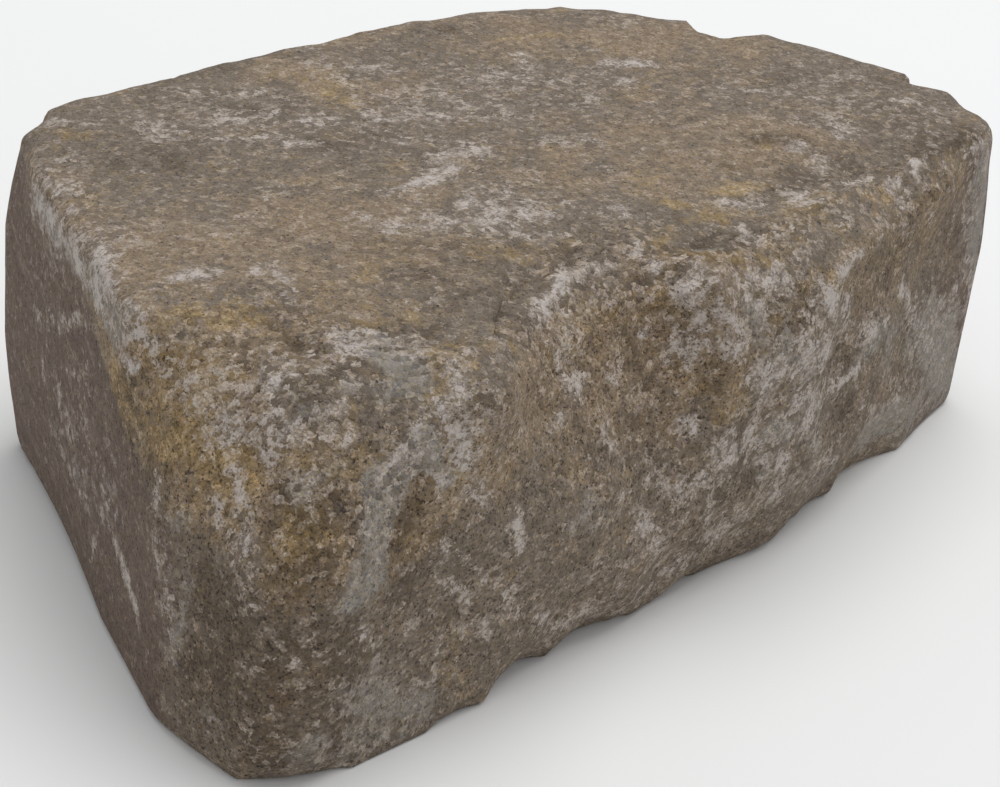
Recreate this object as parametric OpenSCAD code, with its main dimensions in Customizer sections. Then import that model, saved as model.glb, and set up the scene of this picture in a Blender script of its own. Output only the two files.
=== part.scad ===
// Retaining wall block: one piece of dry-cast concrete, tumbled after it was struck, so that
// its arrises are knocked off and its long face is rough, scalloped and falls back at one end.
// Millimetres. +Z is up. The face looks towards -Y. The origin is at the middle of the plan,
// on the bottom bed.

/* [Block] */
// Length along the wall face, end to end
face_length = 306; // [240:2:380]
// Depth from the face to the back
depth = 180; // [150:5:240]
// Height of one course, from bed to bed
height = 98; // [76:2:150]

/* [Plan] */
// How far back the left side starts
left_shoulder = 44; // [34:1:56]
// Length of face lost to the left corner
left_nose = 2; // [1:1:10]
// Length of the wing, the right end of the face that falls back
wing = 126; // [80:2:150]
// How far the wing falls back
wing_fall = 30; // [12:1:36]
// Distance back to where the right side starts to turn in
right_shoulder = 60; // [50:1:80]
// How much shorter the back is than the face, on the left
left_taper = 46; // [30:1:60]
// How much shorter the back is than the face, on the right
right_taper = 60; // [40:1:70]
// Distance of the broken right heel from the back
right_heel = 46; // [30:1:60]

/* [Rounding] */
// Plan radius of the left front corner
nose_radius = 17; // [8:1:24]
// Plan radius where the face bends into its wing
bend_radius = 60; // [20:5:160]
// Plan radius of the back corners and of the wing's end
corner_radius = 9; // [4:1:14]

/* [Wear] */
// How far in the worn arris reaches on the top bed, over the face
face_arris_in = 12; // [6:0.5:16]
// How far down it reaches on the face
face_arris_down = 12; // [6:0.5:20]
// How far in the worn arris reaches on the top bed, over the moulded sides
side_arris_in = 4; // [1.5:0.5:6]
// How far down it reaches on the moulded sides
side_arris_down = 6; // [3:0.5:12]
// How far in the bottom arris is rubbed
foot_in = 1.5; // [1:0.5:5]
// How far up the bottom arris is rubbed
foot_up = 7; // [4:0.5:14]
// How far the top bed slumps at the face
bed_fall = 3; // [1:0.5:5]
// How far back from the face that slump reaches
bed_slump = 58; // [40:1:70]
// How far the face waves in and out
face_wave = 1.6; // [0:0.2:3]

/* [Mesh] */
// Stations along the face
face_stations = 104; // [60:4:120]
// Stations round the sides and back
side_stations = 52; // [40:4:80]

/* [Hidden] */

half = face_length / 2;

// Plan outline, counter-clockwise from the left shoulder: [x, y, radius]. The face is y = 0.
// The left heel is a moulded chamfer; the right one is broken away in three facets.
wing_lean = 3;
shoulder_radius = 24;
heel_radius = 30;
outline_corners = [
    [-half, left_shoulder, shoulder_radius],
    [-half + left_nose, 0, nose_radius],
    [half - wing, 0, bend_radius],
    [half - wing_lean, wing_fall, corner_radius],
    [half, right_shoulder, shoulder_radius],
    [half - right_taper * 0.3, depth - right_heel * 1.4, corner_radius],
    [half - right_taper * 0.7, depth - right_heel * 0.5, heel_radius],
    [half - right_taper * 1.4, depth, 2 * heel_radius],
    [-half + left_taper * 1.5, depth, heel_radius],
    [-half + left_taper, depth - left_taper * 0.12, corner_radius],
];

function unit(v) = v / norm(v);
function lerp(a, b, t) = a + (b - a) * t;
function clamp(v, low = 0, high = 1) = max(low, min(high, v));
function ease(t) = let (c = clamp(t)) c * c * (3 - 2 * c);

// Rounds corner i of a closed outline with an arc of its own radius, in arc_steps chords.
arc_steps = 6;
function fillet(corners, i) =
    let (
        n = len(corners),
        here = [corners[i].x, corners[i].y],
        last = corners[(i + n - 1) % n],
        next = corners[(i + 1) % n],
        to_last = unit([last.x, last.y] - here),
        to_next = unit([next.x, next.y] - here),
        inside = acos(to_last * to_next),
        sweep = 180 - inside,
        radius = corners[i][2],
        centre = here + unit(to_last + to_next) * radius / sin(inside / 2),
        from = here + to_last * radius / tan(inside / 2) - centre,
        to = here + to_next * radius / tan(inside / 2) - centre
    )
    [for (k = [0 : arc_steps])
        let (a = sweep * k / arc_steps)
        centre + (from * sin(sweep - a) + to * sin(a)) / sin(sweep)];

rounded = [for (i = [0 : len(outline_corners) - 1]) each fillet(outline_corners, i)];

// Running length round the outline, and the point at any such length.
edges = [for (i = [0 : len(rounded) - 1])
    norm(rounded[(i + 1) % len(rounded)] - rounded[i])];
function sums(v, i = 0, total = 0, out = []) =
    i == len(v) ? concat(out, total) : sums(v, i + 1, total + v[i], concat(out, total));
run = sums(edges);
girth = run[len(edges)];
function at_length(s) =
    let (i = max([for (k = [0 : len(edges) - 1]) if (run[k] <= s) k]))
    lerp(rounded[i], rounded[(i + 1) % len(rounded)], (s - run[i]) / edges[i]);

// The stretch from close_lead up the left side to the right shoulder gets close stations,
// the rest wide ones.
close_lead = 45;
face_end = run[5 * (arc_steps + 1) - 1];
plan = [
    each [for (k = [0 : face_stations - 1])
        at_length((girth + lerp(-close_lead, face_end, k / face_stations)) % girth)],
    each [for (k = [0 : side_stations - 1])
        at_length(lerp(face_end, girth - close_lead, k / side_stations))],
];

// Everything that is worn away is measured in from the outline, towards the spine: a level
// line through the middle of the block.
spine_half = half - depth / 2;
function inward(p) = unit([clamp(p.x, -spine_half, spine_half), depth / 2] - p);

// 1 on the struck face, 0 on the moulded sides and back. It fades over corner_fade round the
// left corner, and over wing_fade along the wing, whose end is as sharp as a moulded side.
corner_fade = 24;
wing_fade = 90;
function on_face(p) =
    ease((left_shoulder + corner_fade / 4 - p.y) / corner_fade)
    * ease((half + wing_fade / 9 - p.x) / wing_fade);

// A point on the face, a share of its length from the left.
function face_at(share) =
    let (x = lerp(-half, half, share))
    [x, max(0, (x - half + wing) * wing_fall / wing)];
nose = [-half + left_nose * 2, left_shoulder / 4];
right_kink = [half - 1, right_shoulder + 1];

// Lumps broken off an arris: [where, reach left, reach right, in, along, bow, rim]. Left and
// right are as one looks at the face. With a bow of 0 the break is a scoop, steepest in its
// middle; from 1 up it bulges, as a rolled-off corner does. A rim of 1 is crisp, 2 is soft.
top_breaks = [
    [nose, 62, 62, 30, 52, 1.7, 1.3],
    [face_at(0.18), 26, 20, 3, 20, 0, 2],
    [face_at(0.415), 62, 21, 22, 62, 0, 1],
    [face_at(0.53), 22, 50, 8, 30, 0, 1],
    [face_at(0.75), 22, 22, 4, 14, 1.2, 1],
    [face_at(0.9), 16, 16, 3, 30, 1.2, 2],
    [[half - wing_lean, wing_fall + 6], 18, 18, 5, 48, 0, 1.5],
    [right_kink, 7, 7, 8, 10, 0, 1],
    [[half - right_taper * 0.5, depth - right_heel * 1.24], 10, 16, 14, 12, 0, 1],
    [[half - right_taper * 0.7, depth - right_heel * 0.6], 24, 24, 5, 10, 1.2, 1],
    [[half - right_taper * 1.3, depth], 34, 26, 3.6, 10, 1.4, 1],
    [[-half + left_taper, depth], 30, 16, 6.5, 30, 1.2, 1],
];
foot_breaks = [
    [face_at(0.03), 16, 16, 5.5, 16, 1.4, 1],
    [face_at(0.19), 9, 9, 2, 8, 1.4, 1],
    [face_at(0.285), 18, 14, 7.5, 16, 1.4, 1],
    [face_at(0.37), 24, 25, 10.5, 20, 1.4, 1],
    [face_at(0.475), 70, 100, 7.5, 30, 1.4, 1],
    [face_at(0.49), 20, 14, 9.5, 20, 1.4, 1],
    [face_at(0.66), 28, 30, 7.5, 24, 1.4, 1],
    [face_at(0.77), 22, 26, 7.5, 22, 1.4, 1],
    [[-half + left_taper, depth], 100, 60, 4.5, 36, 1.3, 1],
];

// How deep the deepest break bites at point p, at height rise from its own bed.
function bowed(t, bow) = bow < 1 ? ease(t) : pow(t, bow);
function bite(b, p, rise) =
    let (d = norm(p - b[0]) / (p.x < b[0].x ? b[1] : b[2]))
    b[3] * pow(max(0, 1 - d * d), b[6]) * bowed(clamp(1 - rise / b[4]), b[5]);
function deepest_break(breaks, p, rise) = max([for (b = breaks) bite(b, p, rise)]);

// Worn round: a quarter of an ellipse, reaching in at the bed and along at the side.
function roll(reach_in, reach_along, rise) =
    reach_in * (1 - sqrt(1 - pow(clamp(1 - rise / reach_along), 2)));

// Slow in-and-out wave of the struck face.
function wave(p, z) =
    face_wave * on_face(p) * (sin(p.x * 3.1 + z * 2.3) + sin(p.x * 5.3 - z * 3.9 + 70)) / 2;

// Total set-back from the outline at point p and height z.
function set_back(p, z) =
    roll(lerp(side_arris_in, face_arris_in, on_face(p)),
        lerp(side_arris_down, face_arris_down, on_face(p)), height - z)
    + deepest_break(top_breaks, p, height - z)
    + roll(foot_in, foot_up, z)
    + deepest_break(foot_breaks, p, z)
    + wave(p, z);

function skin_point(p, z, drop = 0, least = 0) =
    let (q = p + inward(p) * max(set_back(p, z), least))
    [q.x, q.y, z - drop];

// Heights of the rings of skin, closer together towards each arris.
foot_rings = 4;
side_rings = 15;
foot_top = foot_up * 1.6;
crowding = 1.6;
foot_levels = [for (k = [0 : foot_rings - 1]) foot_top * pow(k / foot_rings, crowding)];
side_levels = [for (k = [0 : side_rings])
    lerp(height, foot_top, pow(1 - k / side_rings, crowding))];

// The rim of the top bed lies lower than its middle: by bed_fall behind the face, where it
// slopes down over bed_slump, and by side_fall along the sides and back, over side_slump.
side_fall = 0.5;
side_slump = 12;
slump_fade = 70;
least_slump = 6;
function slumped(p) = ease((left_shoulder + slump_fade * 2 / 3 - p.y) / slump_fade);
function rim_fall(p) = lerp(side_fall, bed_fall, slumped(p));
function rim_drop(p, z) = rim_fall(p) * pow(z / height, 6);
function slump_end(p) =
    max(lerp(side_slump, bed_slump, slumped(p)), set_back(p, height) + least_slump);
function slump_middle(p) = (slump_end(p) + set_back(p, height)) / 2;
middle_drop = 0.4;

// The skin, bottom to top. Past each bed it carries on by bed_over, for the bed planes to
// strike it off flat.
bed_over = 1;
rings = [
    [for (p = plan) skin_point(p, 0, bed_over)],
    each [for (z = concat(foot_levels, side_levels))
        [for (p = plan) skin_point(p, z, rim_drop(p, z))]],
    [for (p = plan) skin_point(p, height, rim_fall(p) * middle_drop, slump_middle(p))],
    [for (p = plan) skin_point(p, height, 0, slump_end(p))],
    [for (p = plan) skin_point(p, height, -bed_over, slump_end(p))],
];

// Closes a stack of rings, each with the same number of points, into a solid.
module skin(stack) {
    n = len(stack[0]);
    last = len(stack) - 1;
    walls = [for (k = [0 : last - 1], i = [0 : n - 1])
        let (j = (i + 1) % n)
        each [
            [k * n + i, (k + 1) * n + j, k * n + j],
            [k * n + i, (k + 1) * n + i, (k + 1) * n + j],
        ]];
    bottom = [for (i = [0 : n - 1]) i];
    top = [for (i = [0 : n - 1]) last * n + n - 1 - i];
    polyhedron([for (ring = stack) each ring], [each walls, bottom, top]);
}

module wall_block() {
    color("#7b7066")
        translate([0, -depth / 2, 0])
            intersection() {
                skin(rings);
                translate([-face_length, -depth, 0]) cube([2 * face_length, 3 * depth, height]);
            }
}

wall_block();
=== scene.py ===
import itertools
import math

import bpy
import numpy as np
from mathutils import Matrix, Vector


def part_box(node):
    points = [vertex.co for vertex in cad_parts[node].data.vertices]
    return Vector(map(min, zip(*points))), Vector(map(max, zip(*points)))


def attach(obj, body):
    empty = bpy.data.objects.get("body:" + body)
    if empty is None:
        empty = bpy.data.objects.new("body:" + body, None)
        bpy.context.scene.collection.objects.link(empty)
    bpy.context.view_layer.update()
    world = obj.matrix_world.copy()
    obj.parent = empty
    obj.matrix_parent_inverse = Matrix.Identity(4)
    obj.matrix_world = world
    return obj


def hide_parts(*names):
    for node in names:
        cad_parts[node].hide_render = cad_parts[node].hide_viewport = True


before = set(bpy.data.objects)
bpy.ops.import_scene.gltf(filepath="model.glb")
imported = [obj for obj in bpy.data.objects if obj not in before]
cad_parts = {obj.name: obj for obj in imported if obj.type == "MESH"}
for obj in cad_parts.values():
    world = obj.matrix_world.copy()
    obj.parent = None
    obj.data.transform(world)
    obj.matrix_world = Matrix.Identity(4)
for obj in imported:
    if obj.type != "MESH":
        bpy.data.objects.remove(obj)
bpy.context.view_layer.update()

# ------------------------------------------------------------------------------------------
# The block: one piece of dry-cast concrete. It is pressed in a steel mould with its face and
# back upright, struck while it is green, and tumbled in a drum with others, which knocks off
# its arrises, scallops the long face and leaves chalky scuffs on whatever stands proud.
# ------------------------------------------------------------------------------------------

# Sizes in millimetres. The CAD solid's box gives the overall ones. It is a little shorter than
# the outline, which wear has cut back, so half its length is rounded up to a whole millimetre.
MM = 0.001
low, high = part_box("wall_block")
half = math.ceil((high.x - low.x) / MM / 2)
depth = (high.y - low.y) / MM
height = high.z / MM

# The plan. A shoulder is how far behind the face its side is widest, a taper how far that side
# draws in towards the back, and the heel where the right side turns in. The wing is the right
# end of the face, which falls back.
left_shoulder, left_nose, left_taper = 44, 2, 46
wing, wing_fall, wing_lean = 126, 30, 3
right_shoulder, right_heel, right_taper = 60, 46, 60

# How far tumbling rounds an arris, in at the bed and along the side: the face's most of all.
FACE_ROLL = 12
SIDE_ROLL_IN, SIDE_ROLL_ALONG = 4, 6
FOOT_ROLL_IN, FOOT_ROLL_ALONG = 1.5, 7

# Corners of the plan, counter-clockwise from the left shoulder: x, y from the face, radius.
PLAN_CORNERS = np.array([
    (-half, left_shoulder, 24),
    (-half + left_nose, 0, 17),
    (half - wing, 0, 60),
    (half - wing_lean, wing_fall, 9),
    (half, right_shoulder, 24),
    (half - right_taper * 0.3, depth - right_heel * 1.4, 9),
    (half - right_taper * 0.7, depth - right_heel * 0.5, 30),
    (half - right_taper * 1.4, depth, 60),
    (-half + left_taper * 1.5, depth, 30),
    (-half + left_taper, depth - left_taper * 0.12, 9),
])

# How the mesh is spread: steps round each corner's arc, stations round the plan, CLOSE_SHARE
# times as close together on the left side and the face as elsewhere, and rings up the side, in
# over the top bed and in under the bottom bed.
ARC_STEPS = 24
STATIONS = 640
CLOSE_SHARE = 1.6
SIDE_RINGS = 82
BED_RINGS = 54
UNDER_RINGS = 3


def unit(vectors):
    """Each vector divided by its length."""
    return vectors / np.linalg.norm(vectors, axis=-1, keepdims=True)


def ease(t):
    """Rises smoothly from 0 to 1 while t does: 3t^2 - 2t^3."""
    t = np.clip(t, 0, 1)
    return t * t * (3 - 2 * t)


def rounded_outline(corners, steps):
    """Points of a closed outline whose corners are arcs. An arc of radius r at a corner that is
    open by angle a has its centre r / sin(a/2) along the bisector and starts r / tan(a/2) back."""
    here, radius = corners[:, :2], corners[:, 2:]
    back, on = unit(np.roll(here, 1, 0) - here), unit(np.roll(here, -1, 0) - here)
    inside = np.arccos((back * on).sum(1, keepdims=True))
    centre = here + unit(back + on) * radius / np.sin(inside / 2)
    start = here + back * radius / np.tan(inside / 2) - centre
    end = here + on * radius / np.tan(inside / 2) - centre
    sweep = (math.pi - inside)[:, None]
    angle = sweep * np.linspace(0, 1, steps + 1)[None, :, None]
    arc = (start[:, None] * np.sin(sweep - angle) + end[:, None] * np.sin(angle)) / np.sin(sweep)
    return (centre[:, None] + arc).reshape(-1, 2)


def spread(outline, count, crowd):
    """Count points along a closed outline, with steps in proportion to 1 / crowd(point)."""
    closed = np.vstack([outline, outline[:1]])
    run = np.r_[0, np.cumsum(np.linalg.norm(np.diff(closed, axis=0), axis=1))]
    fine = np.linspace(0, run[-1], 20 * count)
    points = np.stack([np.interp(fine, run, closed[:, k]) for k in (0, 1)], 1)
    weight = crowd(points)
    weighted = np.r_[0, np.cumsum((weight[1:] + weight[:-1]) / 2)]
    at = np.interp(np.arange(count) / count * weighted[-1], weighted, fine)
    return np.stack([np.interp(at, run, closed[:, k]) for k in (0, 1)], 1)


# The outline is rolled round by two corners, so that the seam of the grid is at the back.
outline = np.roll(rounded_outline(PLAN_CORNERS, ARC_STEPS), 2 * (ARC_STEPS + 1), axis=0)
plan = spread(outline, STATIONS, lambda p: 1 + (CLOSE_SHARE - 1) * ease(
    (depth * 0.9 - p[:, 1] - 0.35 * (p[:, 0] + half)) / 40))

# Wear is measured in from the outline, towards the spine: a level line through the middle.
spine_half = half - depth / 2
spine = np.stack([np.clip(plan[:, 0], -spine_half, spine_half), np.full(STATIONS, depth / 2)], 1)
inward = unit(spine - plan)

# 1 on the struck face, 0 on the moulded sides and back.
on_face = (ease((left_shoulder + 6 - plan[:, 1]) / 24) * ease((half + 10 - plan[:, 0]) / 90))[:, None]


def face_at(share):
    """The place on the face that is this share of its length from the left."""
    x = -half + 2 * half * share
    return x, max(0, (x - half + wing) * wing_fall / wing)


# Lumps broken off an arris: x, y, reach to the left, to the right, in, along, bow, rim. A bow
# of 0 is a scoop, from 1 up it bulges. A rim of 1 is crisp, 2 is soft.
TOP_BREAKS = np.array([
    (-half + left_nose * 2, left_shoulder / 4, 62, 62, 30, 52, 1.7, 1.3),
    (*face_at(0.18), 26, 20, 3, 20, 0, 2),
    (*face_at(0.415), 62, 21, 22, 62, 0, 1),
    (*face_at(0.53), 22, 50, 8, 30, 0, 1),
    (*face_at(0.75), 22, 22, 4, 14, 1.2, 1),
    (*face_at(0.9), 16, 16, 3, 30, 1.2, 2),
    (half - wing_lean, wing_fall + 6, 18, 18, 5, 48, 0, 1.5),
    (half - 1, right_shoulder + 1, 7, 7, 8, 10, 0, 1),
    (half - right_taper * 0.5, depth - right_heel * 1.24, 10, 16, 14, 12, 0, 1),
    (half - right_taper * 0.7, depth - right_heel * 0.6, 24, 24, 5, 10, 1.2, 1),
    (half - right_taper * 1.3, depth, 34, 26, 3.6, 10, 1.4, 1),
    (-half + left_taper, depth, 30, 16, 6.5, 30, 1.2, 1),
])
FOOT_BREAKS = np.array([
    (*face_at(0.03), 16, 16, 5.5, 16, 1.4, 1),
    (*face_at(0.19), 9, 9, 2, 8, 1.4, 1),
    (*face_at(0.285), 18, 14, 7.5, 16, 1.4, 1),
    (*face_at(0.37), 24, 25, 10.5, 20, 1.4, 1),
    (*face_at(0.475), 70, 100, 7.5, 30, 1.4, 1),
    (*face_at(0.49), 20, 14, 9.5, 20, 1.4, 1),
    (*face_at(0.66), 28, 30, 7.5, 24, 1.4, 1),
    (*face_at(0.77), 22, 26, 7.5, 22, 1.4, 1),
    (-half + left_taper, depth, 100, 60, 4.5, 36, 1.3, 1),
])


def deepest_break(breaks, rise):
    """How deep the deepest break bites at each station and rise from its own bed: the product of
    its depth, (1 - d^2)^rim along the outline and its bow in height."""
    x, y, left, right, deep, along, bow, rim = breaks.T[:, :, None]
    away = plan[None] - np.stack([x, y], -1)
    d = np.linalg.norm(away, axis=-1) / np.where(away[..., 0] < 0, left, right)
    across = np.maximum(0, 1 - d * d) ** rim
    up = np.clip(1 - rise / along, 0, 1)
    up = np.where(bow < 1, ease(up), up ** np.maximum(bow, 1))
    return ((deep * across)[:, :, None] * up[:, None]).max(0)


def roll(reach_in, reach_along, rise):
    """A quarter of an ellipse, reaching in at the bed and along at the side."""
    return reach_in * (1 - np.sqrt(1 - np.clip(1 - rise / reach_along, 0, 1) ** 2))


def set_back(z):
    """How far in from the outline each station lies at each height z: its rolls and its breaks
    at the top and at the foot, and on the face two sine waves of 0.8 mm that cross."""
    rise = height - z
    roll_in = SIDE_ROLL_IN + (FACE_ROLL - SIDE_ROLL_IN) * on_face
    roll_along = SIDE_ROLL_ALONG + (FACE_ROLL - SIDE_ROLL_ALONG) * on_face
    wave = 0.8 * on_face * (
        np.sin(np.radians(plan[:, :1] * 3.1 + z * 2.3))
        + np.sin(np.radians(plan[:, :1] * 5.3 - z * 3.9 + 70)))
    return (roll(roll_in, roll_along, rise) + deepest_break(TOP_BREAKS, rise)
            + roll(FOOT_ROLL_IN, FOOT_ROLL_ALONG, z) + deepest_break(FOOT_BREAKS, z) + wave)


# Ring heights: equal steps along a section whose arrises are quarter ellipses.
turn = np.linspace(0, math.pi / 2, 200)
section = np.vstack([
    np.stack([FOOT_ROLL_IN * (1 - np.sin(turn)), FOOT_ROLL_ALONG * (1 - np.cos(turn))], 1),
    np.stack([FACE_ROLL * (1 - np.cos(turn)), height - FACE_ROLL * (1 - np.sin(turn))], 1),
])
run = np.r_[0, np.cumsum(np.linalg.norm(np.diff(section, axis=0), axis=1))]
levels = np.interp(np.linspace(0, run[-1], SIDE_RINGS), run, section[:, 1])[None]

# The side, the top bed from its rim to the middle, and the bottom bed from the middle out. The
# rim of the top bed lies 0.5 mm lower than its middle, and 3 mm lower behind the face, where
# the green concrete slumped.
slumped = ease((left_shoulder + 47 - plan[:, 1:]) / 70)
rim_fall = 0.5 + 2.5 * slumped
sunk = set_back(levels)
side = np.concatenate([
    plan[:, None] + inward[:, None] * sunk[..., None],
    np.broadcast_to((levels - rim_fall * (levels / height) ** 6)[..., None], sunk.shape + (1,)),
], -1)

middle = np.array([0, depth / 2])
share = (np.arange(1, BED_RINGS) / BED_RINGS)[None, :, None] ** 1.25
rim = side[:, -1:, :2]
bed_xy = rim + (middle - rim) * share
reached = ((bed_xy - plan[:, None]) * inward[:, None]).sum(-1)
slump_end = np.maximum(12 + 46 * slumped, sunk[:, -1:] + 6)
slump = np.clip(1 - (reached - sunk[:, -1:]) / (slump_end - sunk[:, -1:]), 0, 1)
bed = np.concatenate([bed_xy, (height - rim_fall * slump ** 1.4)[..., None]], -1)

share = (np.arange(1, UNDER_RINGS + 1) / (UNDER_RINGS + 1))[None, ::-1, None]
rim = side[:, :1, :2]
under_xy = rim + (middle - rim) * share
under = np.concatenate([under_xy, np.zeros(under_xy.shape[:2] + (1,))], -1)

skin = np.concatenate([under, side, bed], 1)
skin[..., 1] -= depth / 2
RINGS = skin.shape[1]


def outward(grid):
    """Normals of a grid of points, from its steps along both directions. Near the middle of a bed
    the stations crowd together, so there the normal is plain up or down."""
    along = np.roll(grid, -1, 0) - np.roll(grid, 1, 0)
    normal = np.cross(along, np.gradient(grid, axis=1))
    normal[:, -BED_RINGS // 2:] = 0, 0, 1
    normal[:, :UNDER_RINGS] = 0, 0, -1
    return unit(normal)


def lumps(points, size, seed):
    """Smooth random field from -1 to 1: random heights on a cubic lattice with a step of `size`,
    joined by smooth steps. The lattice is turned so that no row of it lines up with a face, and
    it repeats after 32 steps."""
    lattice = 32
    heights = np.random.default_rng(seed).uniform(-1, 1, (lattice, lattice, lattice))
    turned = points @ np.array(Matrix.Rotation(0.7, 3, (0.6, -0.3, 0.74))) / size + seed
    cell = np.floor(turned).astype(int)
    part = ease(turned - cell)
    total = 0
    for corner in itertools.product((0, 1), repeat=3):
        weight = np.where(corner, part, 1 - part).prod(-1)
        at = (cell + corner) % lattice
        total = total + weight * heights[tuple(np.moveaxis(at, -1, 0))]
    return total


def rough(points, size, octaves, seed):
    """Lumps at `size`, and at half the size and 0.55 of the height, and so on."""
    return sum(lumps(points, size / 2 ** k, seed + k) * 0.55 ** k for k in range(octaves))


def pebbles(points, size, seed):
    """Rounded grains, 1 at each middle and 0 between: 1 - distance to the nearest of the points
    that are scattered one to each cell of a lattice with a step of `size`, which repeats after
    16 steps."""
    lattice = 16
    place = np.random.default_rng(seed).uniform(0.1, 0.9, (lattice, lattice, lattice, 3))
    q = points / size
    cell = np.floor(q).astype(int)
    nearest = np.full(q.shape[:-1], 9.0)
    for step in itertools.product((-1, 0, 1), repeat=3):
        at = cell + step
        spot = at + place[tuple(np.moveaxis(at % lattice, -1, 0))]
        nearest = np.minimum(nearest, ((q - spot) ** 2).sum(-1))
    return np.clip(1 - np.sqrt(nearest), 0, 1)


def strokes(u, v, rows):
    """How strong the strongest of some brush strokes is at u, v. A row is u, v at the stroke's
    start, u, v at its end, its width and its strength, which fades as exp(-(d / width)^2)."""
    most = np.zeros(u.shape)
    for u0, v0, u1, v1, width, strength in rows:
        run_u, run_v = u1 - u0, v1 - v0
        t = np.clip(((u - u0) * run_u + (v - v0) * run_v) / max(run_u ** 2 + run_v ** 2, 1), 0, 1)
        d2 = (u - u0 - t * run_u) ** 2 + (v - v0 - t * run_v) ** 2
        most = np.maximum(most, strength * np.exp(-d2 / width ** 2))
    return most


# What kind of surface each point has, as shares from 0 to 1: bed; struck, which is the face;
# moulded, which is the sides and the back as the steel left them; broken, where an arris is off;
# torn, where it is off deeply, on the bed too; and spall, the lump that is off the left corner.
# Front and left_side say which way a point looks.
facing = outward(skin)
x, y, z = np.moveaxis(skin, -1, 0)
rim_ring = UNDER_RINGS + SIDE_RINGS
is_side = np.zeros(RINGS)
is_side[UNDER_RINGS:rim_ring] = 1
wear_depth = np.zeros(x.shape)
wear_depth[:, UNDER_RINGS:rim_ring] = sunk
wear_depth[:, rim_ring:] = sunk[:, -1:] * ease(1 - (reached - sunk[:, -1:]) / 14)
bed_share = ease((facing[..., 2] - 0.35) / 0.35) * ease((z - 70) / 20)
struck = on_face * (1 - bed_share) * is_side
broken = ease((wear_depth - 2) / 6) * (1 - bed_share)
torn = ease((wear_depth - 5) / 9)
spall_foot = np.interp(y + 3 * lumps(skin, 9, 45), (-90, -40, -20, -8, 10, 30), (52, 56, 62, 69, 81, 90))
spall = ease((z - spall_foot + 2) / 7) * ease((-100 - x) / 12) * (1 - bed_share)
moulded = (1 - on_face) * (1 - bed_share) * (1 - spall)
front = ease((-0.15 - facing[..., 1]) / 0.35) * (1 - bed_share)
left_side = ease((-0.5 - facing[..., 0]) / 0.3) * (1 - bed_share) * (1 - front)
on_foot = ease(z / 4)
near_arris = ease(1 - (height - z) / 16) * is_side * (0.35 + 0.65 * on_face)

# Form that shows by itself. Ridges left standing on the face, and hollows in it: x, z, to x, z,
# width, height. Ridges along the top arris, and pits and cracks in the bed: x, y, to x, y,
# width, height or depth.
FACE_FORM = (
    (67, 87, 45, 87, 4, 1.6), (45, 87, 34, 81, 4, 1.6), (34, 81, 31, 50, 5, 1.6),
    (31, 50, 36, 28, 6, 1.2), (62, 60, 92, 56, 4, 1.0), (92, 56, 128, 45, 4, 1.2),
    (-16, 60, -12, 84, 4, 1.2), (-131, 55, -129, 80, 7, 0.9), (-62, 42, -40, 47, 6, 0.8),
    (-100, 54, -78, 52, 7, 0.8), (5, 40, 12, 20, 6, 1.0), (62, 30, 110, 20, 9, 0.9),
)
FACE_HOLLOWS = (
    (48, 58, 47, 56, 7, 2.2), (34, 55, 30, 40, 4, 0.8), (9, 36, 6, 48, 6, 1.8), (54, 36, 48, 40, 6, 1.4),
    (-117, 68, -113, 60, 5, 1.0), (-88, 66, -86, 72, 7, 1.4), (-146, 40, -144, 20, 6, 1.0),
    (15, 84, 22, 82, 5, 1.4), (-30, 52, -28, 44, 8, 1.2), (78, 72, 110, 68, 12, 1.2),
    (-70, 20, -50, 16, 8, 1.2), (-20, 14, -16, 10, 6, 1.2),
)
ARRIS_FORM = (
    (-64, -69, -43, -62, 2.4, 1.2), (-43, -62, -28, -59, 2.0, 0.9), (-28, -59, -10, -56, 2.0, 0.7),
    (-9, -72, 2, -73, 2.4, 0.9), (2, -73, 20, -68, 2.2, 0.6), (31, -73, 55, -67, 2.4, 0.9),
    (55, -67, 92, -66, 2.4, 0.8), (92, -66, 140, -57, 2.4, 0.8), (-100, -75, -88, -77, 2.4, 0.7),
)
BED_PITS = (
    (-21, 8, -16, 10, 1.3, 1.6), (-23, 35, -22, 34, 1.8, 1.8), (44, 77, 46, 72, 1.4, 1.4),
    (35, 80, 36, 78, 1.2, 1.2), (-117, 36, -116, 34, 1.6, 1.3), (-107, -16, -106, -16, 1.3, 1.2),
    (-91, -13, -90, -13, 1.2, 1.2), (-71, 19, -70, 19, 1.3, 1.2), (-56, -44, -55, -44, 1.4, 1.3),
    (60, -36, 63, -34, 2.2, 1.0), (24, 62, 23, 61, 1.3, 1.1), (-7, 49, -5, 48, 1.2, 1.1),
    (55, -13, 54, -13, 1.3, 1.1), (-33, 83, -31, 84, 1.4, 1.1), (-50, 88, -49, 87, 1.4, 1.1),
    (-98, 64, -97, 63, 1.3, 1.0), (-84, -58, -82, -60, 1.4, 1.2), (-72, -72, -73, -68, 1.6, 1.4),
    (-86, -36, -87, -37, 1.4, 1.1), (79, 20, 80, 20, 1.2, 1.0), (104, -8, 106, -9, 1.4, 1.0),
)

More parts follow.
